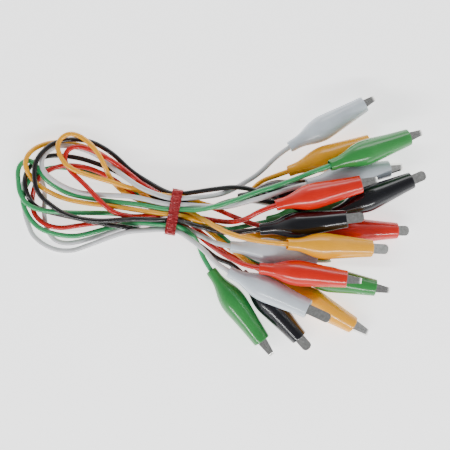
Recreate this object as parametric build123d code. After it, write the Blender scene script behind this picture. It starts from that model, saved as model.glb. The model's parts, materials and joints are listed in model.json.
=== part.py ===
"""Ten alligator-clip test leads, folded once and held by a twist tie. Millimetres, +Z up, lying on z = 0.

Each lead is an insulated wire with a clip at both ends. A clip is a fixed jaw crimped to the wire,
a moving jaw on a rivet, a torsion spring round the rivet, and a soft boot over all of it.
"""
from build123d import *
import math
import os

# ---- where the leads lie: the layout below is shifted so the origin is under the middle of the box ----
MIDDLE = (0.13, -0.14)

# ---- wire ----
WIRE_D = 2.1            # over the insulation
WIRE_IN = 3.5           # straight end inside the boot's neck
WIRE_OUT = 4.5          # straight start outside the neck

# ---- boot, along local X from the neck's end ----
BOOT_LENGTH = 37.0
NECK_R = 2.5
NECK_BORE_R = 1.8
BELLY_R = 5.55          # widest, at BELLY_X
BELLY_X = 17.0
MOUTH_R = 3.4
WALL = 0.7
MOUTH_WALL = 0.5
MOUTH_STRETCH = 0.12    # the mouth opens this much per millimetre that the clip stands further out

# ---- metal clip, local Z across the jaws, teeth meeting at z = 0 ----
PIVOT_X = 29.0
TIP_X = 43.0
SHEET = 0.4
JAW_HALF_W = 2.1
JAW_BACK_Z = 2.8        # at the pivot
TIP_BACK_Z = 1.1
TIP_ROUND_R = 1.8
MOVING_HALF_W = 1.6     # between the ears of the fixed jaw
TOOTH_PITCH = 1.0
TOOTH_DEPTH = 0.5
TOOTH_GAP = 0.04        # from z = 0 to each jaw
EAR_TOP_Z = 1.2
RIVET_R = 0.7
RIVET_HEAD_R = 1.1
RIVET_HEAD = 0.3
HOLE_CLEARANCE = 0.05   # moving jaw on the rivet
THUMB_X = 12.5
PLATE_HALF_W = 1.3
BARREL_X0 = 1.5
BARREL_X1 = 5.5
BARREL_R = 1.5
BARREL_BORE_R = 1.1
COIL_R = 1.02           # middle of the spring wire
SPRING_D = 0.4

# ---- twist tie ----
TIE_X = -50.9           # middle of the ribbon, where it crosses TIE_Y
TIE_Y = 5.85
TIE_ANGLE = -10.6       # of the ribbon from straight across
TIE_WIDTH = 4.4
TIE_THICK = 0.4
TIE_HALF_SPAN = 9.2     # inside, across the bundle
TIE_BOTTOM = 3.35       # inside heights
TIE_TOP = 9.95

# ---- clips: neck end x, y, z, heading and pitch of the nose, roll of the opening direction, how far
# the clip stands out of its boot beyond the usual ----
CLIPS = {
    1: (-2.5, 33, 6.6, 30, -3, 90, -1.2),
    2: (-3, 22.9, 6.6, 19.5, -3, 270, 0),
    3: (14, 25, 19, 20, -14, 90, 0),
    4: (4.5, 17.3, 14.1, 11, -14, 285, 0),
    5: (15.5, 5, 13, 23, -8, 0, 0),
    6: (-8.5, 8.5, 21, 14, -2.5, 80, 1),
    7: (-15, -1.5, 15.5, 7, 7, 0, 1),
    8: (7, -2, 10.5, 0, -11, 0, -1.2),
    9: (-4, -7.5, 26.5, -3, -15, 0, 1),
    10: (-27.5, -8.5, 17.5, -7, -4.5, 252, 0),
    11: (-15.5, -17.5, 22.5, -7, 2.5, 90, 0),
    12: (-2.5, -19.2, 14, -10.5, -4.5, 90, 0),
    13: (-6.5, -23.5, 12.5, -30.5, -13.5, 75, 1.5),
    14: (-28, -19, 16, -25, 8, 0, 4),
    15: (-22.5, -19.5, 6.6, -48.5, -3, 0, 0),
    16: (-35.5, -18.5, 6.6, -54, -3, 90, 1.5),
    17: (-12, 1.8, 8.2, 11, -7.5, 80, 0),
    18: (-23, -14, 8.2, -12, -7.5, 80, 0),
    19: (-24, 11.3, 8.2, 9, -7.5, 270, 0),
    20: (-17, -4, 6.6, -10, -3, 90, 0),
}

# ---- leads: the clips at the two ends ----
LEADS = {
    "yellow_1": (2, 9),
    "yellow_2": (20, 13),
    "black_1": (7, 5),
    "black_2": (19, 15),
    "white_1": (1, 4),
    "white_2": (10, 14),
    "green_1": (3, 17),
    "green_2": (16, 12),
    "red_1": (6, 8),
    "red_2": (18, 11),
}

# ---- wires between their straight ends: right-hand side, through the tie, round the left-hand loop
# and back through the tie. Corners are rounded. ----
ROUTES = {
    "yellow_1": [
        (-15.5, 18.5, 1), (-20.5, 11.5, 1), (-26.5, 8.5, 4), (-33.5, 7.5, 7.5), (-47.5, 12.5, 6.5),
        (-53.5, 12.5, 6.5), (-64, 14.5, 8.5), (-69.5, 16, 7.5), (-77, 18.5, 7.5), (-82.5, 20, 8),
        (-87.5, 21.5, 8), (-93, 23.5, 8), (-97, 26.5, 8), (-99, 30, 7.5), (-100, 33.5, 7),
        (-98.5, 37, 7), (-95, 39, 7), (-90.5, 38, 7), (-86.5, 35, 8), (-83, 31, 8),
        (-80.5, 26.5, 7.5), (-78.5, 21.5, 5.5), (-75.5, 17, 5.5), (-70.5, 13, 4.5), (-64.5, 10.5, 9),
        (-54, 8, 6.5), (-48, 8, 6.5), (-38, 2.5, 12.5), (-30.5, -2, 20), (-22.5, -5, 21),
    ],
    "yellow_2": [
        (-31.5, -0.5, 7.5), (-38, 1.5, 10), (-49, 5, 8.5), (-55, 5, 8.5), (-65, 6.5, 11.5),
        (-71, 7.5, 7), (-78, 8.5, 6), (-87.5, 9.5, 5.5), (-95.5, 11, 5), (-101, 13, 4.5),
        (-105.5, 15.5, 6.5), (-109, 18, 5.5), (-111.5, 21, 6), (-113.5, 25, 7), (-113, 29.5, 5.5),
        (-109.5, 33, 3.5), (-104.5, 35, 2), (-98.5, 35.5, 1), (-92, 34.5, 1), (-85.5, 32.5, 1),
        (-78.5, 28.5, 1.5), (-73, 23.5, 3), (-68, 18, 3.5), (-63.5, 12.5, 6.5), (-54.5, 7, 4.5),
        (-48.5, 7, 4.5), (-37.5, -1, 5), (-29, -8, 11), (-20.5, -14.5, 13),
    ],
    "black_1": [
        (-28, -3, 13.5), (-34, -2, 12.5), (-42.5, 0.5, 15.5), (-49, 2.5, 8.5), (-55, 2.5, 8.5),
        (-66, 3, 14), (-74, 2.5, 8.5), (-82.5, 2, 7.5), (-90.5, 3, 7.5), (-95.5, 4.5, 7.5),
        (-99.5, 6.5, 7.5), (-103.5, 9.5, 7.5), (-107, 12.5, 7.5), (-109, 16.5, 8.5), (-109.5, 20.5, 8),
        (-109.5, 25, 7.5), (-108, 29, 7), (-105, 32.5, 5.5), (-101.5, 35, 4.5), (-96.5, 36.5, 4),
        (-90.5, 36.5, 3), (-85.5, 35.5, 2.5), (-80.5, 33, 2.5), (-75.5, 29.5, 2.5), (-69.5, 23.5, 2),
        (-63.5, 19.5, 1), (-53, 13.5, 4.5), (-47, 13.5, 4.5), (-34, 15.5, 7), (-24.5, 16.5, 11),
        (-16.5, 15, 11), (-7, 11, 17), (4.5, 5.5, 12),
    ],
    "black_2": [
        (-37.5, 6.5, 9.5), (-48, 10.5, 6.5), (-54, 10.5, 6.5), (-64.5, 14, 3), (-69, 19, 1),
        (-73.5, 22, 1), (-78.5, 24.5, 1), (-84, 26.5, 1), (-90, 28.5, 1), (-96, 29.5, 1),
        (-102.5, 30, 1), (-108.5, 28.5, 1), (-112.5, 24.5, 2), (-114, 19.5, 6), (-113, 14, 6),
        (-110.5, 9, 3.5), (-106, 6.5, 3.5), (-100, 5, 3), (-93, 3.5, 3.5), (-86, 2, 5),
        (-78.5, 0.5, 4.5), (-71, -0.5, 9), (-64.5, -2, 3.5), (-56, -0.5, 4.5), (-50, -0.5, 4.5),
        (-43.5, -6, 4.5), (-38, -9.5, 5), (-32.5, -14, 5.5),
    ],
    "white_1": [
        (-15, 22, 6.5), (-21.5, 18, 6.5), (-27.5, 14.5, 7), (-34, 12.5, 10), (-47.5, 11.5, 8.5),
        (-53.5, 11.5, 8.5), (-64, 15.5, 11), (-70, 19.5, 9), (-76, 24, 4.5), (-80.5, 28, 3),
        (-85.5, 31, 3), (-91, 33, 3), (-96.5, 34, 3.5), (-101, 33.5, 3), (-104.5, 31.5, 3),
        (-106.5, 28.5, 5), (-106.5, 24.5, 7.5), (-104, 21, 8), (-100, 18, 7.5), (-94, 15, 5.5),
        (-88, 13.5, 5.5), (-79, 13, 6.5), (-69.5, 12.5, 9.5), (-64, 11.5, 11), (-54, 9, 8.5),
        (-48, 9, 8.5), (-34.5, 8, 13), (-27.5, 8, 12), (-20.5, 10, 15.5), (-13, 12, 18),
    ],
    "white_2": [
        (-38.5, -4.5, 7.5), (-49.5, 0.5, 6.5), (-55.5, 0.5, 6.5), (-65, 1, 4.5), (-72, -1, 2),
        (-78.5, -3, 2), (-85, -5, 1), (-90.5, -6.5, 1), (-96, -7.5, 1), (-101, -6.5, 1),
        (-104, -3, 1), (-105.5, 1.5, 1), (-106, 7, 1), (-105.5, 12.5, 1), (-106, 17.5, 1),
        (-108.5, 21.5, 1), (-112.5, 21.5, 1), (-115, 18, 1), (-115, 14.5, 1), (-114.5, 9.5, 1),
        (-114, 5, 1), (-112.5, 0.5, 1), (-111, -3.5, 1), (-108, -6.5, 1), (-104, -9, 1),
        (-99, -10.5, 1.5), (-93.5, -10.5, 2), (-88, -8.5, 2.5), (-82.5, -6.5, 4), (-77, -4.5, 7.5),
        (-71, -2.5, 8.5), (-64.5, -2, 9.5), (-56, -1.5, 6.5), (-50, -1.5, 6.5), (-44, -5.5, 13),
        (-38, -10, 17),
    ],
    "green_1": [
        (-6.5, 17, 17.5), (-15, 14.5, 16), (-24.5, 11, 15), (-33.5, 8, 18), (-41, 6.5, 13),
        (-48.5, 7, 8.5), (-54.5, 7, 8.5), (-65, 9, 10.5), (-74, 10, 6), (-82, 11, 4.5),
        (-88.5, 12, 4), (-95.5, 13.5, 4), (-101, 16.5, 3.5), (-105, 19.5, 6), (-107.5, 23.5, 6),
        (-110.5, 27.5, 4), (-114.5, 27.5, 3.5), (-117, 24, 3), (-116.5, 18, 4.5), (-116, 14.5, 5.5),
        (-114, 10.5, 6), (-111, 8, 6), (-106.5, 6.5, 6), (-100.5, 6, 5.5), (-93.5, 5.5, 5),
        (-87, 5.5, 4), (-80, 5.5, 3.5), (-73.5, 5, 2.5), (-66, 3.5, 4), (-55, 2.5, 6.5),
        (-49, 2.5, 6.5), (-37.5, -1, 11), (-30, -2, 10),
    ],
    "green_2": [
        (-41, -6.5, 7.5), (-44, -3, 10), (-49.5, 0.5, 8.5), (-55.5, 0.5, 8.5), (-65, 1.5, 8),
        (-74, 0.5, 3), (-81, -1.5, 2), (-88, -3.5, 2.5), (-94, -4.5, 3), (-101, -3.5, 3.5),
        (-107, -1.5, 3.5), (-111, 2, 3), (-113.5, 6, 3), (-115, 10.5, 4), (-114, 15.5, 3),
        (-112, 19.5, 4), (-108.5, 22.5, 2.5), (-104, 24.5, 1), (-98, 25, 1), (-91.5, 23.5, 1),
        (-85.5, 22, 1), (-78.5, 19.5, 1), (-72, 17, 1), (-65, 13, 1), (-54, 9, 4.5),
        (-48, 9, 4.5), (-37.5, 1.5, 1), (-29, -6, 9.5), (-20, -13, 10.5),
    ],
    "red_1": [
        (-22, 2, 16), (-29, 1.5, 8), (-37.5, 3, 7.5), (-48.5, 5, 6.5), (-54.5, 5, 6.5),
        (-64.5, 4, 7), (-69.5, 4, 9), (-74, 5, 7.5), (-77.5, 6.5, 8), (-82, 10.5, 8.5),
        (-85.5, 14.5, 8), (-90, 19, 7), (-94, 22.5, 6), (-96.5, 26, 5.5), (-97, 30, 5.5),
        (-94.5, 33, 5.5), (-90.5, 33.5, 5.5), (-85.5, 32, 5), (-79.5, 29, 6.5), (-74, 25.5, 5),
        (-68.5, 21, 6), (-63.5, 17, 2.5), (-53.5, 11.5, 4.5), (-47.5, 11.5, 4.5), (-35, 8, 1),
        (-25, 3.5, 12), (-14, -0.5, 10.5),
    ],
    "red_2": [
        (-34, -7, 6), (-40, -2.5, 2.5), (-48.5, 5, 4.5), (-54.5, 5, 4.5), (-64.5, 9.5, 1.5),
        (-69.5, 14.5, 3.5), (-76, 19.5, 3.5), (-82, 22.5, 3), (-87, 24.5, 3), (-93, 25.5, 3),
        (-98.5, 25.5, 3.5), (-104, 23.5, 4), (-108, 20.5, 3.5), (-110, 16, 3.5), (-111, 11, 1),
        (-110.5, 6, 2), (-108, 2.5, 3), (-104, 0, 3.5), (-98.5, -1, 3.5), (-92.5, 0, 2),
        (-85.5, 1, 1.5), (-78.5, 1.5, 1), (-71.5, 1.5, 1), (-64.5, 0.5, 1), (-55.5, 2, 4.5),
        (-49.5, 2, 4.5), (-40.5, -4, 5), (-35, -8.5, 9), (-29, -12.5, 16.5),
    ],
}

# ---- clip frames ----
def shifted(point):
    return Vector(point[0] - MIDDLE[0], point[1] - MIDDLE[1], point[2])


def clip_frame(number):
    """Plane at the neck's end: local X towards the nose, local Z the way the moving jaw opens."""
    x, y, z, heading, pitch, roll, stand_out = CLIPS[number]
    h = math.radians(heading)
    p = math.radians(pitch)
    r = math.radians(roll)
    nose = Vector(math.cos(h) * math.cos(p), math.sin(h) * math.cos(p), math.sin(p))
    left = Vector(-math.sin(h), math.cos(h), 0)
    up = nose.cross(left)
    opening = up * math.cos(r) - left * math.sin(r)
    return Plane(origin=shifted((x, y, z)), x_dir=nose, z_dir=opening)


def placed(solid, number):
    return clip_frame(number).location * solid


# ---- boot ----
def boot(stand_out):
    """Soft sleeve turned about local X: neck, shoulder, belly and a long taper to the mouth."""
    mouth = MOUTH_R + MOUTH_STRETCH * max(0, stand_out)
    bore = mouth - MOUTH_WALL
    outside = Spline(
        (4, 0, NECK_R), (8.5, 0, 3.75), (13, 0, 5.1), (BELLY_X, 0, BELLY_R),
        tangents=[(1, 0, 0.08), (1, 0, -0.02)],
    )
    inside = Spline(
        (4.6, 0, NECK_BORE_R), (9, 0, 3.1), (13.3, 0, 4.4), (BELLY_X, 0, BELLY_R - WALL),
        tangents=[(1, 0, 0.08), (1, 0, -0.02)],
    )
    lip = Line((BELLY_X, 0, BELLY_R), (BOOT_LENGTH, 0, mouth))
    face_end = Line((BOOT_LENGTH, 0, mouth), (BOOT_LENGTH, 0, bore))
    taper_in = Line((BOOT_LENGTH, 0, bore), (BELLY_X, 0, BELLY_R - WALL))
    neck_in = Line((4.6, 0, NECK_BORE_R), (0, 0, NECK_BORE_R))
    neck_end = Line((0, 0, NECK_BORE_R), (0, 0, NECK_R - 0.1))
    neck_out = Line((0, 0, NECK_R - 0.1), (4, 0, NECK_R))
    edges = [outside, lip, face_end, taper_in, inside, neck_in, neck_end, neck_out]
    return revolve(make_face(edges), axis=Axis.X, revolution_arc=360)


# ---- jaws ----
def back(ahead):
    """Height of a jaw's back, a distance ahead of the pivot."""
    return JAW_BACK_Z - (JAW_BACK_Z - TIP_BACK_Z) * ahead / (TIP_X - PIVOT_X)


def side_plate(points, half_width):
    """Solid of a side outline (x, z), symmetric about y = 0."""
    face = make_face(Polyline(*[(x, 0, z) for x, z in points], close=True))
    return extrude(face, amount=half_width, both=True, dir=(0, 1, 0))


def nose_plan(inset, start):
    """Outline of the nose from above, its tip rounded, as a tall solid; inset for the inside."""
    half = JAW_HALF_W - inset
    end = TIP_X - inset
    corner = TIP_ROUND_R - inset * 0.6
    box = Box(end - start, 2 * half, 12, align=(Align.MIN, Align.CENTER, Align.CENTER))
    box = Pos(start, 0, 0) * box
    tip_edges = box.edges().filter_by(Axis.Z).sort_by(Axis.X)[-2:]
    return fillet(tip_edges, corner)


def tooth_line(sign):
    """Zigzag (x, z) from behind the first tooth to the tip, the same line for both jaws."""
    points = []
    x = PIVOT_X + 3.6
    high = True
    while x < TIP_X + 0.6:
        level = TOOTH_DEPTH / 2 if high else -TOOTH_DEPTH / 2
        points.append((x, level + sign * TOOTH_GAP))
        x += TOOTH_PITCH / 2
        high = not high
    return points


def nose_solid(sign, inset):
    """One jaw in front of the pivot, filled: sign 1 above the teeth, -1 below."""
    teeth = tooth_line(sign)
    start = PIVOT_X + 3.0
    beyond = TIP_X + 1 - PIVOT_X
    outline = [(start, sign * (back(3.0) - inset)), (TIP_X + 1, sign * (back(beyond) - inset))]
    if inset:
        outline += [(TIP_X + 1, -sign * 2), (start, -sign * 2)]
    else:
        outline += list(reversed(teeth)) + [(start, teeth[0][1])]
    half = JAW_HALF_W - inset
    return side_plate(outline, half) & nose_plan(inset, start)


def nose(sign):
    """Spoon-shaped toothed nose in sheet metal."""
    return nose_solid(sign, 0) - nose_solid(sign, SHEET)


def plate(points, half_width):
    """Bent sheet strip through the side points (x, z of its middle)."""
    strip = None
    for a, b in zip(points, points[1:]):
        dx = b[0] - a[0]
        dz = b[1] - a[1]
        length = math.hypot(dx, dz)
        ux = -dz / length * SHEET / 2
        uz = dx / length * SHEET / 2
        corners = [(a[0] + ux, a[1] + uz), (b[0] + ux, b[1] + uz), (b[0] - ux, b[1] - uz), (a[0] - ux, a[1] - uz)]
        run = side_plate(corners, half_width)
        strip = run if strip is None else strip + run
    for x, z in points[1:-1]:
        knee = Cylinder(SHEET / 2, 2 * half_width, rotation=(90, 0, 0))
        strip = strip + Pos(x, 0, z) * knee
    return strip


def fixed_jaw(stand_out):
    """Lower jaw: nose, channel with two ears, tail strip and crimp barrel."""
    mid_z = -(JAW_BACK_Z - SHEET / 2)
    channel = [
        (PIVOT_X - 4.5, -JAW_BACK_Z), (PIVOT_X, -JAW_BACK_Z), (PIVOT_X + 3.2, -back(3.2)),
        (PIVOT_X + 3.2, -0.3), (PIVOT_X + 1.6, EAR_TOP_Z - 0.5), (PIVOT_X + 0.9, EAR_TOP_Z),
        (PIVOT_X - 0.9, EAR_TOP_Z), (PIVOT_X - 1.6, EAR_TOP_Z - 0.5), (PIVOT_X - 2.6, -1.4),
        (PIVOT_X - 4.5, -2.35),
    ]
    gap = [
        (PIVOT_X - 6, -JAW_BACK_Z + SHEET), (PIVOT_X, -JAW_BACK_Z + SHEET), (PIVOT_X + 4, SHEET - back(4)),
        (PIVOT_X + 4, 3), (PIVOT_X - 6, 3),
    ]
    ears = side_plate(channel, JAW_HALF_W) - side_plate(gap, JAW_HALF_W - SHEET)
    ears = ears - Pos(PIVOT_X, 0, 0) * Cylinder(RIVET_R, 6, rotation=(90, 0, 0))
    barrel_z = -(BARREL_R + BARREL_BORE_R) / 2
    tail = plate(
        [(PIVOT_X - 4, mid_z), (12.5, -2.95), (BARREL_X1 + 1.2, barrel_z - 0.25), (BARREL_X1 - 0.3, barrel_z)],
        PLATE_HALF_W * 0.62,
    )
    wide = plate([(PIVOT_X - 4, mid_z), (12.5, -2.95)], PLATE_HALF_W)
    centre = ((BARREL_X0 + BARREL_X1) / 2, 0, 0)
    ring = Pos(*centre) * Cylinder(BARREL_R, BARREL_X1 - BARREL_X0, rotation=(0, 90, 0))
    bore = Pos(*centre) * Cylinder(BARREL_BORE_R, 20, rotation=(0, 90, 0))
    jaw = (nose(-1) + ears + tail + wide + ring) - bore
    return Pos(stand_out, 0, 0) * jaw


def moving_jaw(stand_out):
    """Upper jaw: nose, walls between the ears, rivet hole and thumb strip."""
    side = [
        (PIVOT_X + 3.4, back(3.4)), (PIVOT_X, JAW_BACK_Z), (PIVOT_X - 4.5, JAW_BACK_Z + 0.25),
        (PIVOT_X - 4.5, 2.7), (PIVOT_X - 2.4, 0.7), (PIVOT_X - 1.2, -0.9), (PIVOT_X + 1.2, -0.9),
        (PIVOT_X + 2.3, 0.1), (PIVOT_X + 2.7, 0.35), (PIVOT_X + 3.4, 0.35),
    ]
    gap = [
        (PIVOT_X + 4, back(4) - SHEET), (PIVOT_X, JAW_BACK_Z - SHEET), (PIVOT_X - 4.4, JAW_BACK_Z - SHEET + 0.25),
        (PIVOT_X - 5, -3), (PIVOT_X + 4, -3),
    ]
    walls = side_plate(side, MOVING_HALF_W) - side_plate(gap, MOVING_HALF_W - SHEET)
    walls = walls - Pos(PIVOT_X, 0, 0) * Cylinder(RIVET_R + HOLE_CLEARANCE, 6, rotation=(90, 0, 0))
    web = Pos(PIVOT_X + 3.2, 0, 1.35) * Box(SHEET, 2 * JAW_HALF_W, 1.8)
    mid_z = JAW_BACK_Z - SHEET / 2 + 0.25
    thumb = plate([(PIVOT_X - 4, mid_z), (PIVOT_X - 12, 3.8), (THUMB_X, 3.25)], PLATE_HALF_W)
    jaw = nose(1) + walls + web + thumb
    return Pos(stand_out, 0, 0) * jaw


def rivet(stand_out):
    """Hinge pin through the ears with a head on each side."""
    shank = Cylinder(RIVET_R, 2 * JAW_HALF_W + 2 * RIVET_HEAD, rotation=(90, 0, 0))
    head = Cylinder(RIVET_HEAD_R, RIVET_HEAD, rotation=(90, 0, 0))
    offset = JAW_HALF_W + RIVET_HEAD / 2
    pin = shank + Pos(0, offset, 0) * head + Pos(0, -offset, 0) * head
    return Pos(PIVOT_X + stand_out, 0, 0) * pin


def spring(stand_out):
    """Torsion spring: three turns round the rivet, one leg on each strip."""
    turns = 2.75
    pitch = 0.45
    height = turns * pitch
    coil_path = Helix(pitch=pitch, height=height, radius=COIL_R)
    ring = Plane(origin=coil_path @ 0, z_dir=coil_path % 0) * Circle(SPRING_D / 2)
    coil = sweep(ring, path=coil_path)
    coil = Pos(0, height / 2, 0) * (Rot(90, 0, 0) * coil)
    return Pos(PIVOT_X + stand_out, 0, 0) * coil


# ---- wires ----
def route(name):
    first, last = LEADS[name]
    start = clip_frame(first)
    end = clip_frame(last)
    start_in = WIRE_IN + CLIPS[first][6]
    end_in = WIRE_IN + CLIPS[last][6]
    points = [start.origin + start.x_dir * start_in, start.origin - start.x_dir * WIRE_OUT]
    points += [shifted(point) for point in ROUTES[name]]
    points += [end.origin - end.x_dir * WIRE_OUT, end.origin + end.x_dir * end_in]
    return points


def corner_radii(points):
    """Largest round that fits each corner, using 0.45 of the shorter run beside it."""
    radii = []
    for a, b, c in zip(points, points[1:], points[2:]):
        before = (b - a).length
        after = (c - b).length
        turn = math.radians((b - a).get_angle(c - b))
        radii.append(0.45 * min(before, after) / math.tan(turn / 2))
    return radii


def wire(name):
    points = route(name)
    radii = corner_radii(points)
    path = FilletPolyline(*points, radius=radii)
    start = Plane(origin=path @ 0, z_dir=path % 0)
    tube = sweep(start * Circle(WIRE_D / 2), path=path)
    section = math.pi * WIRE_D ** 2 / 4
    print(f"wire_{name} length {path.length:.1f} tightest {min(radii):.2f}")
    print(f"  volume {tube.volume:.1f} section x length {section * path.length:.1f}")
    return tube


# ---- twist tie ----
def tie():
    """Ribbon once round the bundle, its two ends twisted together underneath."""
    height = TIE_TOP - TIE_BOTTOM
    outer = Rectangle(2 * TIE_HALF_SPAN + 2 * TIE_THICK, height + 2 * TIE_THICK)
    outer = fillet(outer.vertices(), 1.4)
    inner = Rectangle(2 * TIE_HALF_SPAN, height)
    inner = fillet(inner.vertices(), 1.0)
    band = extrude(Plane.YZ * (outer - inner), amount=TIE_WIDTH / 2, both=True)
    ends = Solid.extrude_linear_with_rotation(
        Wire(Rectangle(2.2, 1.0).edges()), center=(0, 0, 0), normal=(0, 0, 11), angle=900,
    )
    ends = Pos(0, -4.5, -height / 2 - TIE_THICK - 1.15) * (Rot(-90, 0, 0) * ends)
    neck = Pos(0, -4.0, -height / 2 - TIE_THICK / 2 - 0.8) * Box(2.0, 1.4, 1.7)
    whole = band + ends + neck
    middle = shifted((TIE_X, TIE_Y, (TIE_TOP + TIE_BOTTOM) / 2))
    return Pos(middle.X, middle.Y, middle.Z) * (Rot(0, 0, TIE_ANGLE) * whole)


# ---- nodes ----
def solid_of(shape):
    """Single clean solid of a shape."""
    found = shape.solids()
    assert len(found) == 1, len(found)
    return found[0]


def variants(make):
    """One solid for each distance that a clip stands out of its boot."""
    return {out: solid_of(make(out)) for out in sorted({row[6] for row in CLIPS.values()})}


def main():
    os.makedirs("parts", exist_ok=True)
    boots = variants(boot)
    fixed = variants(fixed_jaw)
    moving = variants(moving_jaw)
    rivets = variants(rivet)
    springs = variants(spring)
    nodes = {}
    jaws = {}
    for name, ends in LEADS.items():
        colour = name.split("_")[0]
        for letter, number in zip("ab", ends):
            out = CLIPS[number][6]
            nodes[f"boot_{name}{letter}"] = placed(boots[out], number)
            nodes[f"moving_jaw_{name}{letter}"] = placed(moving[out], number)
            jaws.setdefault(colour, []).append(placed(fixed[out], number))
        nodes[f"wire_{name}"] = wire(name)
    for colour, pieces in jaws.items():
        nodes[f"fixed_jaws_{colour}"] = Compound(children=pieces)
    nodes["rivets"] = Compound(children=[placed(rivets[row[6]], n) for n, row in CLIPS.items()])
    nodes["springs"] = Compound(children=[placed(springs[row[6]], n) for n, row in CLIPS.items()])
    nodes["twist_tie"] = solid_of(tie())
    low = [1e9] * 3
    high = [-1e9] * 3
    for name, shape in nodes.items():
        export_step(shape, f"parts/{name}.step")
        if name.startswith("wire"):
            continue
        box = shape.bounding_box()
        low = [min(a, b) for a, b in zip(low, box.min)]
        high = [max(a, b) for a, b in zip(high, box.max)]
    print("clips, boots and tie box", [round(v, 2) for v in low], [round(v, 2) for v in high])


main()
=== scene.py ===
"""Looks of ten folded test leads with booted alligator clips, tied with a crinkled foil tie. Metres."""
import json
import math

import bpy
from mathutils import Matrix, Vector, noise


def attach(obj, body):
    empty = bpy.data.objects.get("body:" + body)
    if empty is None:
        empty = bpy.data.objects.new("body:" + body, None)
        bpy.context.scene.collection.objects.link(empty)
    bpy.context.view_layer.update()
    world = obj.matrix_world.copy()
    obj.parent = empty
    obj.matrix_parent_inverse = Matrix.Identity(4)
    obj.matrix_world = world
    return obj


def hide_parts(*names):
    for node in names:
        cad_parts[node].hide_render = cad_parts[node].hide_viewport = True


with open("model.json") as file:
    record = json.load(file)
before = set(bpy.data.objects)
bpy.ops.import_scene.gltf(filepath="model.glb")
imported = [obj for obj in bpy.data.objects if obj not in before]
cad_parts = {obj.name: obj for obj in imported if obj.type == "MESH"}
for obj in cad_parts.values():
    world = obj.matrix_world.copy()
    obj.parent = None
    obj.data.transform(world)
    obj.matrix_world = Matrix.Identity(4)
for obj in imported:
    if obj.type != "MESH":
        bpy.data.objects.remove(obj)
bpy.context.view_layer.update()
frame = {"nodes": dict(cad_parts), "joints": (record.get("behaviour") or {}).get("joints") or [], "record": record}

RECORD = frame["record"]
JOINTS = {joint["name"]: joint for joint in frame["joints"]}
MOUNTS = {mount["name"]: mount for mount in RECORD["mounts"]}

# ---- the layout of the wires is shifted so that the origin is under the middle of the object ----
MIDDLE = Vector((0.00013, -0.00014, 0))

# ---- wire ----
WIRE_D = 0.0021
WIRE_IN = 0.0035        # straight end inside the boot's neck
WIRE_OUT = 0.0045       # straight start outside the neck

# ---- boot ----
PIVOT_X = 0.029         # rivet from the neck's end
STAND_OUT = {           # how far each clip stands out of its boot beyond the usual
    "white_1a": -0.0012, "red_1b": -0.0012, "red_1a": 0.001, "black_1a": 0.001,
    "yellow_1b": 0.001, "yellow_2b": 0.0015, "green_2a": 0.0015, "white_2b": 0.004,
}
BOOT_LENGTH = 0.037
BOOT_OUTLINE = [        # along from the neck's end, radius
    (0.0002, 0.0023), (0.001, 0.00245), (0.003, 0.0025), (0.0046, 0.0026), (0.0066, 0.0030),
    (0.0088, 0.0038), (0.0110, 0.00462), (0.0132, 0.0052), (0.0152, 0.00548), (0.0172, 0.00555),
    (0.0195, 0.00535), (0.0225, 0.00502), (0.027, 0.00452), (0.032, 0.00402), (0.0352, 0.00372),
    (0.0366, 0.00358), (0.03695, 0.00345),
]
BOOT_INSIDE = [
    (0.03695, 0.0031), (0.0362, 0.0030), (0.031, 0.00345), (0.024, 0.0042), (0.018, 0.00485),
    (0.0132, 0.0044), (0.009, 0.0031), (0.0046, 0.00182), (0.001, 0.0018), (0.0002, 0.0020),
]
BELLY_X = 0.017         # the mouth's stretch grows from here
STRETCH_RUN = 0.020
MOUTH_STRETCH = 0.12    # widening at the mouth for each unit of stand-out
BOOT_SIDES = 40
DENT = 0.00012
DENT_FADE = 0.006       # the dents die away over this length at both ends
DENTS_ALONG = 140       # noise scale along the boot, per metre
DENTS_AROUND = 0.8
SEED_STEP = 7.3         # moves each boot to its own stretch of the noise

# ---- tie ----
TIE_AT = Vector((-0.0509, 0.00585, 0.00665))
TIE_ANGLE = math.radians(-10.6)
TIE_WIDTH = 0.0044
TIE_HALF_SPAN = 0.0094
TIE_HALF_HEIGHT = 0.0035
TIE_CORNER = 0.0013
CRINKLE = 0.00022
FOIL_THICKNESS = 0.00018
BAND_AROUND = 260       # faces round the band and across it
BAND_ACROSS = 12
TWIST_LENGTH = 0.011
TWIST_STEPS = 90
TWIST_SIDES = 10
TWIST_HALF_TURNS = 5
TWIST_HALF_WIDTH = 0.0011
TWIST_HALF_THICKNESS = 0.0005
TWIST_START_Y = -0.0045
TWIST_Z = -0.00485

# ---- camera: straight down ----
CAMERA_AT = Vector((-0.0294, 0.0004, 1.058))
LENS = 200.0
SENSOR = 36.0

# ---- stage: a glowing pale floor, a sky brighter low down than overhead, and two lamps ----
FLOOR_HALF = 1.5
FLOOR_GLOW = 1.5
ZENITH = 0.30
HORIZON = 1.3
KEY_AT = (0.0, -0.62, 0.50)
KEY_SIZE = (1.3, 0.035)
KEY_POWER = 7.5
BACK_AT = (0.1, 0.9, 0.45)
BACK_SIZE = (0.9, 0.3)
BACK_POWER = 3.0
SLEEVE_GLOSS = (0.20, 1400.0)       # roughness, scale of the orange peel
INSULATION_GLOSS = (0.24, 2200.0)

COLOURS = {             # boot, wire
    "white": ((0.60, 0.66, 0.72, 1), (0.66, 0.66, 0.67, 1)),
    "yellow": ((0.92, 0.40, 0.0, 1), (0.92, 0.40, 0.0, 1)),
    "green": ((0.030, 0.25, 0.050, 1), (0.030, 0.34, 0.11, 1)),
    "red": ((0.68, 0.010, 0.0, 1), (0.56, 0.005, 0.001, 1)),
    "black": ((0.004, 0.004, 0.007, 1), (0.006, 0.004, 0.004, 1)),
}

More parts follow.
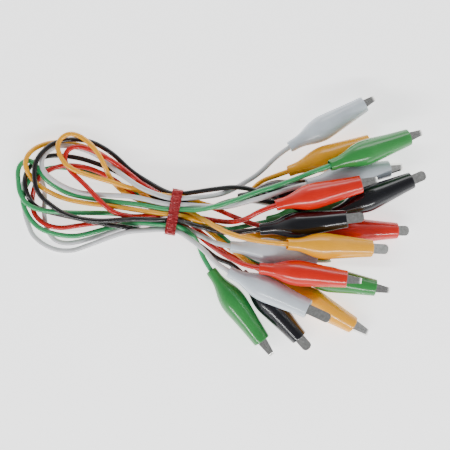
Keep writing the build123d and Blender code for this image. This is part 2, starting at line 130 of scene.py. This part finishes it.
# ---- wires between their straight ends, the same points as the solids' ----
ROUTES = {
    "yellow_1": [
        (-0.0155, 0.0185, 0.001), (-0.0205, 0.0115, 0.001), (-0.0265, 0.0085, 0.004),
        (-0.0335, 0.0075, 0.0075), (-0.0475, 0.0125, 0.0065), (-0.0535, 0.0125, 0.0065),
        (-0.064, 0.0145, 0.0085), (-0.0695, 0.016, 0.0075), (-0.077, 0.0185, 0.0075),
        (-0.0825, 0.02, 0.008), (-0.0875, 0.0215, 0.008), (-0.093, 0.0235, 0.008),
        (-0.097, 0.0265, 0.008), (-0.099, 0.03, 0.0075), (-0.1, 0.0335, 0.007),
        (-0.0985, 0.037, 0.007), (-0.095, 0.039, 0.007), (-0.0905, 0.038, 0.007),
        (-0.0865, 0.035, 0.008), (-0.083, 0.031, 0.008), (-0.0805, 0.0265, 0.0075),
        (-0.0785, 0.0215, 0.0055), (-0.0755, 0.017, 0.0055), (-0.0705, 0.013, 0.0045),
        (-0.0645, 0.0105, 0.009), (-0.054, 0.008, 0.0065), (-0.048, 0.008, 0.0065),
        (-0.038, 0.0025, 0.0125), (-0.0305, -0.002, 0.02), (-0.0225, -0.005, 0.021),
    ],
    "yellow_2": [
        (-0.0315, -0.0005, 0.0075), (-0.038, 0.0015, 0.01), (-0.049, 0.005, 0.0085),
        (-0.055, 0.005, 0.0085), (-0.065, 0.0065, 0.0115), (-0.071, 0.0075, 0.007),
        (-0.078, 0.0085, 0.006), (-0.0875, 0.0095, 0.0055), (-0.0955, 0.011, 0.005),
        (-0.101, 0.013, 0.0045), (-0.1055, 0.0155, 0.0065), (-0.109, 0.018, 0.0055),
        (-0.1115, 0.021, 0.006), (-0.1135, 0.025, 0.007), (-0.113, 0.0295, 0.0055),
        (-0.1095, 0.033, 0.0035), (-0.1045, 0.035, 0.002), (-0.0985, 0.0355, 0.001),
        (-0.092, 0.0345, 0.001), (-0.0855, 0.0325, 0.001), (-0.0785, 0.0285, 0.0015),
        (-0.073, 0.0235, 0.003), (-0.068, 0.018, 0.0035), (-0.0635, 0.0125, 0.0065),
        (-0.0545, 0.007, 0.0045), (-0.0485, 0.007, 0.0045), (-0.0375, -0.001, 0.005),
        (-0.029, -0.008, 0.011), (-0.0205, -0.0145, 0.013),
    ],
    "black_1": [
        (-0.028, -0.003, 0.0135), (-0.034, -0.002, 0.0125), (-0.0425, 0.0005, 0.0155),
        (-0.049, 0.0025, 0.0085), (-0.055, 0.0025, 0.0085), (-0.066, 0.003, 0.014),
        (-0.074, 0.0025, 0.0085), (-0.0825, 0.002, 0.0075), (-0.0905, 0.003, 0.0075),
        (-0.0955, 0.0045, 0.0075), (-0.0995, 0.0065, 0.0075), (-0.1035, 0.0095, 0.0075),
        (-0.107, 0.0125, 0.0075), (-0.109, 0.0165, 0.0085), (-0.1095, 0.0205, 0.008),
        (-0.1095, 0.025, 0.0075), (-0.108, 0.029, 0.007), (-0.105, 0.0325, 0.0055),
        (-0.1015, 0.035, 0.0045), (-0.0965, 0.0365, 0.004), (-0.0905, 0.0365, 0.003),
        (-0.0855, 0.0355, 0.0025), (-0.0805, 0.033, 0.0025), (-0.0755, 0.0295, 0.0025),
        (-0.0695, 0.0235, 0.002), (-0.0635, 0.0195, 0.001), (-0.053, 0.0135, 0.0045),
        (-0.047, 0.0135, 0.0045), (-0.034, 0.0155, 0.007), (-0.0245, 0.0165, 0.011),
        (-0.0165, 0.015, 0.011), (-0.007, 0.011, 0.017), (0.0045, 0.0055, 0.012),
    ],
    "black_2": [
        (-0.0375, 0.0065, 0.0095), (-0.048, 0.0105, 0.0065), (-0.054, 0.0105, 0.0065),
        (-0.0645, 0.014, 0.003), (-0.069, 0.019, 0.001), (-0.0735, 0.022, 0.001),
        (-0.0785, 0.0245, 0.001), (-0.084, 0.0265, 0.001), (-0.09, 0.0285, 0.001),
        (-0.096, 0.0295, 0.001), (-0.1025, 0.03, 0.001), (-0.1085, 0.0285, 0.001),
        (-0.1125, 0.0245, 0.002), (-0.114, 0.0195, 0.006), (-0.113, 0.014, 0.006),
        (-0.1105, 0.009, 0.0035), (-0.106, 0.0065, 0.0035), (-0.1, 0.005, 0.003),
        (-0.093, 0.0035, 0.0035), (-0.086, 0.002, 0.005), (-0.0785, 0.0005, 0.0045),
        (-0.071, -0.0005, 0.009), (-0.0645, -0.002, 0.0035), (-0.056, -0.0005, 0.0045),
        (-0.05, -0.0005, 0.0045), (-0.0435, -0.006, 0.0045), (-0.038, -0.0095, 0.005),
        (-0.0325, -0.014, 0.0055),
    ],
    "white_1": [
        (-0.015, 0.022, 0.0065), (-0.0215, 0.018, 0.0065), (-0.0275, 0.0145, 0.007),
        (-0.034, 0.0125, 0.01), (-0.0475, 0.0115, 0.0085), (-0.0535, 0.0115, 0.0085),
        (-0.064, 0.0155, 0.011), (-0.07, 0.0195, 0.009), (-0.076, 0.024, 0.0045),
        (-0.0805, 0.028, 0.003), (-0.0855, 0.031, 0.003), (-0.091, 0.033, 0.003),
        (-0.0965, 0.034, 0.0035), (-0.101, 0.0335, 0.003), (-0.1045, 0.0315, 0.003),
        (-0.1065, 0.0285, 0.005), (-0.1065, 0.0245, 0.0075), (-0.104, 0.021, 0.008),
        (-0.1, 0.018, 0.0075), (-0.094, 0.015, 0.0055), (-0.088, 0.0135, 0.0055),
        (-0.079, 0.013, 0.0065), (-0.0695, 0.0125, 0.0095), (-0.064, 0.0115, 0.011),
        (-0.054, 0.009, 0.0085), (-0.048, 0.009, 0.0085), (-0.0345, 0.008, 0.013),
        (-0.0275, 0.008, 0.012), (-0.0205, 0.01, 0.0155), (-0.013, 0.012, 0.018),
    ],
    "white_2": [
        (-0.0385, -0.0045, 0.0075), (-0.0495, 0.0005, 0.0065), (-0.0555, 0.0005, 0.0065),
        (-0.065, 0.001, 0.0045), (-0.072, -0.001, 0.002), (-0.0785, -0.003, 0.002),
        (-0.085, -0.005, 0.001), (-0.0905, -0.0065, 0.001), (-0.096, -0.0075, 0.001),
        (-0.101, -0.0065, 0.001), (-0.104, -0.003, 0.001), (-0.1055, 0.0015, 0.001),
        (-0.106, 0.007, 0.001), (-0.1055, 0.0125, 0.001), (-0.106, 0.0175, 0.001),
        (-0.1085, 0.0215, 0.001), (-0.1125, 0.0215, 0.001), (-0.115, 0.018, 0.001),
        (-0.115, 0.0145, 0.001), (-0.1145, 0.0095, 0.001), (-0.114, 0.005, 0.001),
        (-0.1125, 0.0005, 0.001), (-0.111, -0.0035, 0.001), (-0.108, -0.0065, 0.001),
        (-0.104, -0.009, 0.001), (-0.099, -0.0105, 0.0015), (-0.0935, -0.0105, 0.002),
        (-0.088, -0.0085, 0.0025), (-0.0825, -0.0065, 0.004), (-0.077, -0.0045, 0.0075),
        (-0.071, -0.0025, 0.0085), (-0.0645, -0.002, 0.0095), (-0.056, -0.0015, 0.0065),
        (-0.05, -0.0015, 0.0065), (-0.044, -0.0055, 0.013), (-0.038, -0.01, 0.017),
    ],
    "green_1": [
        (-0.0065, 0.017, 0.0175), (-0.015, 0.0145, 0.016), (-0.0245, 0.011, 0.015),
        (-0.0335, 0.008, 0.018), (-0.041, 0.0065, 0.013), (-0.0485, 0.007, 0.0085),
        (-0.0545, 0.007, 0.0085), (-0.065, 0.009, 0.0105), (-0.074, 0.01, 0.006),
        (-0.082, 0.011, 0.0045), (-0.0885, 0.012, 0.004), (-0.0955, 0.0135, 0.004),
        (-0.101, 0.0165, 0.0035), (-0.105, 0.0195, 0.006), (-0.1075, 0.0235, 0.006),
        (-0.1105, 0.0275, 0.004), (-0.1145, 0.0275, 0.0035), (-0.117, 0.024, 0.003),
        (-0.1165, 0.018, 0.0045), (-0.116, 0.0145, 0.0055), (-0.114, 0.0105, 0.006),
        (-0.111, 0.008, 0.006), (-0.1065, 0.0065, 0.006), (-0.1005, 0.006, 0.0055),
        (-0.0935, 0.0055, 0.005), (-0.087, 0.0055, 0.004), (-0.08, 0.0055, 0.0035),
        (-0.0735, 0.005, 0.0025), (-0.066, 0.0035, 0.004), (-0.055, 0.0025, 0.0065),
        (-0.049, 0.0025, 0.0065), (-0.0375, -0.001, 0.011), (-0.03, -0.002, 0.01),
    ],
    "green_2": [
        (-0.041, -0.0065, 0.0075), (-0.044, -0.003, 0.01), (-0.0495, 0.0005, 0.0085),
        (-0.0555, 0.0005, 0.0085), (-0.065, 0.0015, 0.008), (-0.074, 0.0005, 0.003),
        (-0.081, -0.0015, 0.002), (-0.088, -0.0035, 0.0025), (-0.094, -0.0045, 0.003),
        (-0.101, -0.0035, 0.0035), (-0.107, -0.0015, 0.0035), (-0.111, 0.002, 0.003),
        (-0.1135, 0.006, 0.003), (-0.115, 0.0105, 0.004), (-0.114, 0.0155, 0.003),
        (-0.112, 0.0195, 0.004), (-0.1085, 0.0225, 0.0025), (-0.104, 0.0245, 0.001),
        (-0.098, 0.025, 0.001), (-0.0915, 0.0235, 0.001), (-0.0855, 0.022, 0.001),
        (-0.0785, 0.0195, 0.001), (-0.072, 0.017, 0.001), (-0.065, 0.013, 0.001),
        (-0.054, 0.009, 0.0045), (-0.048, 0.009, 0.0045), (-0.0375, 0.0015, 0.001),
        (-0.029, -0.006, 0.0095), (-0.02, -0.013, 0.0105),
    ],
    "red_1": [
        (-0.022, 0.002, 0.016), (-0.029, 0.0015, 0.008), (-0.0375, 0.003, 0.0075),
        (-0.0485, 0.005, 0.0065), (-0.0545, 0.005, 0.0065), (-0.0645, 0.004, 0.007),
        (-0.0695, 0.004, 0.009), (-0.074, 0.005, 0.0075), (-0.0775, 0.0065, 0.008),
        (-0.082, 0.0105, 0.0085), (-0.0855, 0.0145, 0.008), (-0.09, 0.019, 0.007),
        (-0.094, 0.0225, 0.006), (-0.0965, 0.026, 0.0055), (-0.097, 0.03, 0.0055),
        (-0.0945, 0.033, 0.0055), (-0.0905, 0.0335, 0.0055), (-0.0855, 0.032, 0.005),
        (-0.0795, 0.029, 0.0065), (-0.074, 0.0255, 0.005), (-0.0685, 0.021, 0.006),
        (-0.0635, 0.017, 0.0025), (-0.0535, 0.0115, 0.0045), (-0.0475, 0.0115, 0.0045),
        (-0.035, 0.008, 0.001), (-0.025, 0.0035, 0.012), (-0.014, -0.0005, 0.0105),
    ],
    "red_2": [
        (-0.034, -0.007, 0.006), (-0.04, -0.0025, 0.0025), (-0.0485, 0.005, 0.0045),
        (-0.0545, 0.005, 0.0045), (-0.0645, 0.0095, 0.0015), (-0.0695, 0.0145, 0.0035),
        (-0.076, 0.0195, 0.0035), (-0.082, 0.0225, 0.003), (-0.087, 0.0245, 0.003),
        (-0.093, 0.0255, 0.003), (-0.0985, 0.0255, 0.0035), (-0.104, 0.0235, 0.004),
        (-0.108, 0.0205, 0.0035), (-0.11, 0.016, 0.0035), (-0.111, 0.011, 0.001),
        (-0.1105, 0.006, 0.002), (-0.108, 0.0025, 0.003), (-0.104, 0, 0.0035),
        (-0.0985, -0.001, 0.0035), (-0.0925, 0, 0.002), (-0.0855, 0.001, 0.0015),
        (-0.0785, 0.0015, 0.001), (-0.0715, 0.0015, 0.001), (-0.0645, 0.0005, 0.001),
        (-0.0555, 0.002, 0.0045), (-0.0495, 0.002, 0.0045), (-0.0405, -0.004, 0.005),
        (-0.035, -0.0085, 0.009), (-0.029, -0.0125, 0.0165),
    ],
}


# ---- materials ----
def new_material(name):
    material = bpy.data.materials.new(name)
    material.use_nodes = True
    tree = material.node_tree
    shader = tree.nodes["Principled BSDF"]
    coords = tree.nodes.new("ShaderNodeTexCoord")
    return material, tree, shader, coords


def noise_node(tree, coords, scale, detail=4.0):
    node = tree.nodes.new("ShaderNodeTexNoise")
    node.inputs["Scale"].default_value = scale
    node.inputs["Detail"].default_value = detail
    tree.links.new(coords.outputs["Object"], node.inputs["Vector"])
    return node


def ramp_colour(tree, source, socket, low, high, start=0.3, end=0.7):
    ramp = tree.nodes.new("ShaderNodeValToRGB")
    ramp.color_ramp.elements[0].position = start
    ramp.color_ramp.elements[0].color = low
    ramp.color_ramp.elements[1].position = end
    ramp.color_ramp.elements[1].color = high
    tree.links.new(source.outputs["Fac"], ramp.inputs["Fac"])
    tree.links.new(ramp.outputs["Color"], socket)


def ramp_value(tree, source, socket, low, high):
    node = tree.nodes.new("ShaderNodeMapRange")
    node.inputs["From Min"].default_value = 0.3
    node.inputs["From Max"].default_value = 0.7
    node.inputs["To Min"].default_value = low
    node.inputs["To Max"].default_value = high
    tree.links.new(source.outputs["Fac"], node.inputs["Value"])
    tree.links.new(node.outputs["Result"], socket)


def add_bump(tree, source, shader, strength, distance):
    bump = tree.nodes.new("ShaderNodeBump")
    bump.inputs["Strength"].default_value = strength
    bump.inputs["Distance"].default_value = distance
    tree.links.new(source.outputs["Fac"], bump.inputs["Height"])
    tree.links.new(bump.outputs["Normal"], shader.inputs["Normal"])


def shade(colour, factor):
    return (colour[0] * factor, colour[1] * factor, colour[2] * factor, 1)


def pvc(name, colour, rough, bump_scale):
    """Glossy soft vinyl: faint cloudiness in colour and gloss, a slight orange peel."""
    material, tree, shader, coords = new_material(name)
    cloud = noise_node(tree, coords, 180.0)
    ramp_colour(tree, cloud, shader.inputs["Base Color"], shade(colour, 0.93), shade(colour, 1.03))
    ramp_value(tree, cloud, shader.inputs["Roughness"], rough * 0.85, rough * 1.2)
    peel = noise_node(tree, coords, bump_scale, 2.0)
    add_bump(tree, peel, shader, 0.12, 0.00006)
    shader.inputs["IOR"].default_value = 1.53
    shader.inputs["Coat Weight"].default_value = 0.2
    shader.inputs["Coat Roughness"].default_value = 0.08
    shader.inputs["Subsurface Weight"].default_value = 0.04
    shader.inputs["Subsurface Radius"].default_value = (0.0012, 0.0008, 0.0006)
    return material


def nickel():
    """Bright plated sheet with faint rolling marks and tarnish."""
    material, tree, shader, coords = new_material("nickel_plate")
    cloud = noise_node(tree, coords, 900.0, 6.0)
    ramp_colour(tree, cloud, shader.inputs["Base Color"], (0.66, 0.65, 0.62, 1), (0.86, 0.85, 0.82, 1))
    ramp_value(tree, cloud, shader.inputs["Roughness"], 0.10, 0.20)
    grain = noise_node(tree, coords, 5000.0, 3.0)
    add_bump(tree, grain, shader, 0.10, 0.00002)
    shader.inputs["Metallic"].default_value = 1.0
    return material


def spring_steel():
    material, tree, shader, coords = new_material("drawn_steel")
    cloud = noise_node(tree, coords, 2500.0)
    ramp_colour(tree, cloud, shader.inputs["Base Color"], (0.40, 0.40, 0.41, 1), (0.60, 0.60, 0.60, 1))
    ramp_value(tree, cloud, shader.inputs["Roughness"], 0.22, 0.38)
    add_bump(tree, cloud, shader, 0.1, 0.00002)
    shader.inputs["Metallic"].default_value = 1.0
    return material


def foil():
    """Red foil, crinkled all over, with tiny pale specks."""
    material, tree, shader, coords = new_material("red_foil")
    specks = noise_node(tree, coords, 2600.0, 3.0)
    ramp_colour(
        tree, specks, shader.inputs["Base Color"],
        (0.30, 0.003, 0.006, 1), (0.70, 0.25, 0.24, 1), 0.68, 0.86,
    )
    ramp_value(tree, specks, shader.inputs["Roughness"], 0.16, 0.34)
    creases = tree.nodes.new("ShaderNodeTexVoronoi")
    creases.inputs["Scale"].default_value = 900.0
    tree.links.new(coords.outputs["Object"], creases.inputs["Vector"])
    bump = tree.nodes.new("ShaderNodeBump")
    bump.inputs["Strength"].default_value = 0.7
    bump.inputs["Distance"].default_value = 0.0003
    tree.links.new(creases.outputs["Distance"], bump.inputs["Height"])
    tree.links.new(bump.outputs["Normal"], shader.inputs["Normal"])
    shader.inputs["Metallic"].default_value = 0.35
    shader.inputs["Coat Weight"].default_value = 0.5
    return material


# ---- clip frames, from the record ----
def clip_frame(lead, end):
    """Matrix with local X towards the nose, Z the way the jaw opens, at the neck's end."""
    joint = JOINTS[f"opens_{lead}{end}"]
    x_axis = Vector(MOUNTS[f"grip_{lead}{end}"]["axis"]).normalized()
    y_axis = -Vector(joint["axis"]).normalized()
    z_axis = x_axis.cross(y_axis)
    reach = PIVOT_X + STAND_OUT.get(f"{lead}{end}", 0.0)
    origin = Vector(joint["pos_m"]) - x_axis * reach
    matrix = Matrix((x_axis, y_axis, z_axis)).transposed().to_4x4()
    matrix.translation = origin
    return matrix


def mesh_object(name, verts, faces, material, smooth=True):
    mesh = bpy.data.meshes.new(name)
    mesh.from_pydata([tuple(v) for v in verts], [], faces)
    mesh.update()
    for polygon in mesh.polygons:
        polygon.use_smooth = smooth
    mesh.materials.append(material)
    piece = bpy.data.objects.new(name, mesh)
    bpy.context.scene.collection.objects.link(piece)
    return piece


# ---- wires ----
def wire(lead, material):
    """One insulated wire, a smooth curve from inside one boot's neck to inside the other's."""
    start = clip_frame(lead, "a")
    finish = clip_frame(lead, "b")
    start_x = start.col[0].xyz
    finish_x = finish.col[0].xyz
    start_in = WIRE_IN + STAND_OUT.get(f"{lead}a", 0.0)
    finish_in = WIRE_IN + STAND_OUT.get(f"{lead}b", 0.0)
    points = [start.translation + start_x * start_in, start.translation - start_x * WIRE_OUT]
    points += [Vector(point) - MIDDLE for point in ROUTES[lead]]
    points += [finish.translation - finish_x * WIRE_OUT, finish.translation + finish_x * finish_in]
    curve = bpy.data.curves.new(f"lead_wire_{lead}", "CURVE")
    curve.dimensions = "3D"
    curve.bevel_depth = WIRE_D / 2
    curve.bevel_resolution = 5
    curve.resolution_u = 10
    curve.use_fill_caps = True
    spline = curve.splines.new("NURBS")
    spline.points.add(len(points) - 1)
    for target, point in zip(spline.points, points):
        target.co = (*point, 1)
    spline.order_u = 3
    spline.use_endpoint_u = True
    curve.materials.append(material)
    piece = bpy.data.objects.new(f"lead_wire_{lead}", curve)
    bpy.context.scene.collection.objects.link(piece)
    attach(piece, "leads")
    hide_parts(f"wire_{lead}")


# ---- boots ----
def boot(lead, end, material, seed):
    """Turned sleeve, open at both ends, with soft dents."""
    matrix = clip_frame(lead, end)
    stretch = MOUTH_STRETCH * STAND_OUT.get(f"{lead}{end}", 0.0)
    rings = BOOT_OUTLINE + BOOT_INSIDE
    verts = []
    for along, radius in rings:
        wider = stretch * max(0.0, along - BELLY_X) / STRETCH_RUN
        for k in range(BOOT_SIDES):
            angle = 2 * math.pi * k / BOOT_SIDES
            side = Vector((
                along * DENTS_ALONG,
                math.cos(angle) * DENTS_AROUND + seed * SEED_STEP,
                math.sin(angle) * DENTS_AROUND,
            ))
            neck_fade = min(1.0, along / DENT_FADE)
            mouth_fade = min(1.0, max(0.0, BOOT_LENGTH - along) / DENT_FADE)
            fade = neck_fade * mouth_fade
            dent = -DENT * fade * (0.5 + noise.noise(side))
            r = radius + wider + dent
            verts.append(matrix @ Vector((along, r * math.cos(angle), r * math.sin(angle))))
    faces = []
    count = len(rings)
    for i in range(count):
        j = (i + 1) % count
        for k in range(BOOT_SIDES):
            m = (k + 1) % BOOT_SIDES
            here = i * BOOT_SIDES
            there = j * BOOT_SIDES
            faces.append((here + k, there + k, there + m, here + m))
    piece = mesh_object(f"sleeve_{lead}{end}", verts, faces, material)
    smoother = piece.modifiers.new("smooth", "SUBSURF")
    smoother.levels = 1
    smoother.render_levels = 2
    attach(piece, "leads")
    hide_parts(f"boot_{lead}{end}")


# ---- twist tie ----
def loop_point(s):
    """Point (y, z) and outward normal on the rounded rectangle, s from 0 to 1."""
    flat_y = TIE_HALF_SPAN - TIE_CORNER
    flat_z = TIE_HALF_HEIGHT - TIE_CORNER
    quarter = math.pi * TIE_CORNER / 2
    runs = [2 * flat_y, quarter, 2 * flat_z, quarter] * 2
    centres = [(flat_y, flat_z), (flat_y, -flat_z), (-flat_y, -flat_z), (-flat_y, flat_z)]
    left = s * sum(runs)
    for k, run in enumerate(runs):
        if left <= run or k == 7:
            break
        left -= run
    side = k // 2
    centre = Vector(centres[side])
    turn = math.pi / 2 - side * math.pi / 2
    if k % 2 == 0:
        normal = Vector((math.cos(turn), math.sin(turn)))
        forward = Vector((normal.y, -normal.x))
        return centre + normal * TIE_CORNER - forward * (run - left), normal
    angle = turn - left / TIE_CORNER
    normal = Vector((math.cos(angle), math.sin(angle)))
    return centre + normal * TIE_CORNER, normal


def tie_matrix():
    matrix = Matrix.Rotation(TIE_ANGLE, 4, "Z")
    matrix.translation = TIE_AT - MIDDLE
    return matrix


def tie_band(material):
    """Ribbon once round the bundle, pleated and crinkled."""
    around = BAND_AROUND
    across = BAND_ACROSS
    matrix = tie_matrix()
    verts = []
    for i in range(around):
        point, normal = loop_point(i / around)
        for j in range(across + 1):
            w = j / across - 0.5
            pleat = noise.noise(Vector((i * 0.33, w * 2.2, 0.0)))
            fine = noise.noise(Vector((i * 0.9, w * 7.0, 5.0)))
            lift = CRINKLE * (0.7 + pleat + 0.5 * fine)
            ragged = 1.0 + 0.10 * noise.noise(Vector((i * 0.25, 9.0, round(w))))
            y, z = point + normal * lift
            verts.append(matrix @ Vector((w * TIE_WIDTH * ragged, y, z)))
    faces = []
    for i in range(around):
        n = (i + 1) % around
        for j in range(across):
            a = i * (across + 1) + j
            b = n * (across + 1) + j
            faces.append((a, b, b + 1, a + 1))
    piece = mesh_object("tie_band", verts, faces, material, smooth=False)
    shell = piece.modifiers.new("thickness", "SOLIDIFY")
    shell.thickness = FOIL_THICKNESS
    return piece


def tie_twist(material):
    """The two ribbon ends wound round each other, lying under the bundle."""
    matrix = tie_matrix()
    steps = TWIST_STEPS
    sides = TWIST_SIDES
    verts = []
    for i in range(steps + 1):
        t = i / steps
        turn = t * TWIST_HALF_TURNS * math.pi
        for k in range(sides):
            angle = 2 * math.pi * k / sides
            swell = 1 + 0.18 * noise.noise(Vector((i * 0.4, k * 0.9, 2.0)))
            y = TWIST_HALF_WIDTH * math.cos(angle) * swell
            z = TWIST_HALF_THICKNESS * math.sin(angle) * swell
            across = y * math.cos(turn) - z * math.sin(turn)
            high = y * math.sin(turn) + z * math.cos(turn)
            along = TWIST_START_Y + t * TWIST_LENGTH
            verts.append(matrix @ Vector((across, along, TWIST_Z + high)))
    last = steps * sides
    faces = [tuple(range(sides)), tuple(range(last + sides - 1, last - 1, -1))]
    for i in range(steps):
        here = i * sides
        there = here + sides
        for k in range(sides):
            m = (k + 1) % sides
            faces.append((here + m, here + k, there + k, there + m))
    return mesh_object("tie_twist", verts, faces, material)


def tie():
    material = foil()
    band = tie_band(material)
    twist = tie_twist(material)
    for piece in (band, twist):
        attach(piece, "leads")
        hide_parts("twist_tie")


# ---- carried-over metal ----
def set_material(node, material):
    piece = frame["nodes"][node]
    for slot in piece.material_slots:
        slot.material = material


def metal():
    plate = nickel()
    for name in frame["nodes"]:
        if "jaw" in name or name == "rivets":
            set_material(name, plate)
    set_material("springs", spring_steel())


# ---- stage ----
def area_light(name, place, size, power):
    """Rectangular lamp that points at the origin."""
    data = bpy.data.lights.new(name, "AREA")
    data.shape = "RECTANGLE"
    data.size = size[0]
    data.size_y = size[1]
    data.energy = power
    light = bpy.data.objects.new(name, data)
    light.location = place
    direction = -Vector(place)
    light.rotation_euler = direction.to_track_quat("-Z", "Y").to_euler()
    bpy.context.scene.collection.objects.link(light)


def stage():
    material, tree, shader, coords = new_material("pale_floor")
    speck = noise_node(tree, coords, 30.0)
    ramp_colour(tree, speck, shader.inputs["Base Color"], (0.93, 0.93, 0.93, 1), (0.95, 0.95, 0.95, 1))
    shader.inputs["Roughness"].default_value = 0.7
    shader.inputs["Emission Color"].default_value = (1, 1, 1, 1)
    shader.inputs["Emission Strength"].default_value = FLOOR_GLOW
    size = FLOOR_HALF
    corners = [(-size, -size, 0), (size, -size, 0), (size, size, 0), (-size, size, 0)]
    floor = mesh_object("floor", corners, [(0, 1, 2, 3)], material)
    studio_world()
    area_light("key_strip", KEY_AT, KEY_SIZE, KEY_POWER)
    area_light("back_soft", BACK_AT, BACK_SIZE, BACK_POWER)


def studio_world():
    """Bright all round near the horizon and dim overhead, so the glossy tops stay deep in colour."""
    world = bpy.data.worlds.new("studio")
    world.use_nodes = True
    tree = world.node_tree
    coords = tree.nodes.new("ShaderNodeTexCoord")
    split = tree.nodes.new("ShaderNodeSeparateXYZ")
    fade = tree.nodes.new("ShaderNodeMapRange")
    fade.inputs["From Min"].default_value = 0.15
    fade.inputs["From Max"].default_value = 0.85
    fade.inputs["To Min"].default_value = HORIZON
    fade.inputs["To Max"].default_value = ZENITH
    tree.links.new(coords.outputs["Generated"], split.inputs["Vector"])
    tree.links.new(split.outputs["Z"], fade.inputs["Value"])
    tree.links.new(fade.outputs["Result"], tree.nodes["Background"].inputs["Strength"])
    tree.nodes["Background"].inputs["Color"].default_value = (0.96, 0.98, 1, 1)
    bpy.context.scene.world = world


def camera():
    data = bpy.data.cameras.new("camera")
    data.lens = LENS
    data.sensor_width = SENSOR
    data.clip_start = 0.01
    view = bpy.data.objects.new("camera", data)
    view.location = CAMERA_AT - MIDDLE
    bpy.context.scene.collection.objects.link(view)
    bpy.context.scene.camera = view


camera()
stage()
for colour, (boot_colour, wire_colour) in COLOURS.items():
    sleeve = pvc(f"vinyl_{colour}", boot_colour, *SLEEVE_GLOSS)
    insulation = pvc(f"insulation_{colour}", wire_colour, *INSULATION_GLOSS)
    for number in (1, 2):
        lead_name = f"{colour}_{number}"
        wire(lead_name, insulation)
        for index, letter in enumerate("ab"):
            boot(lead_name, letter, sleeve, number * 2 + index + 10 * len(colour))
tie()
metal()
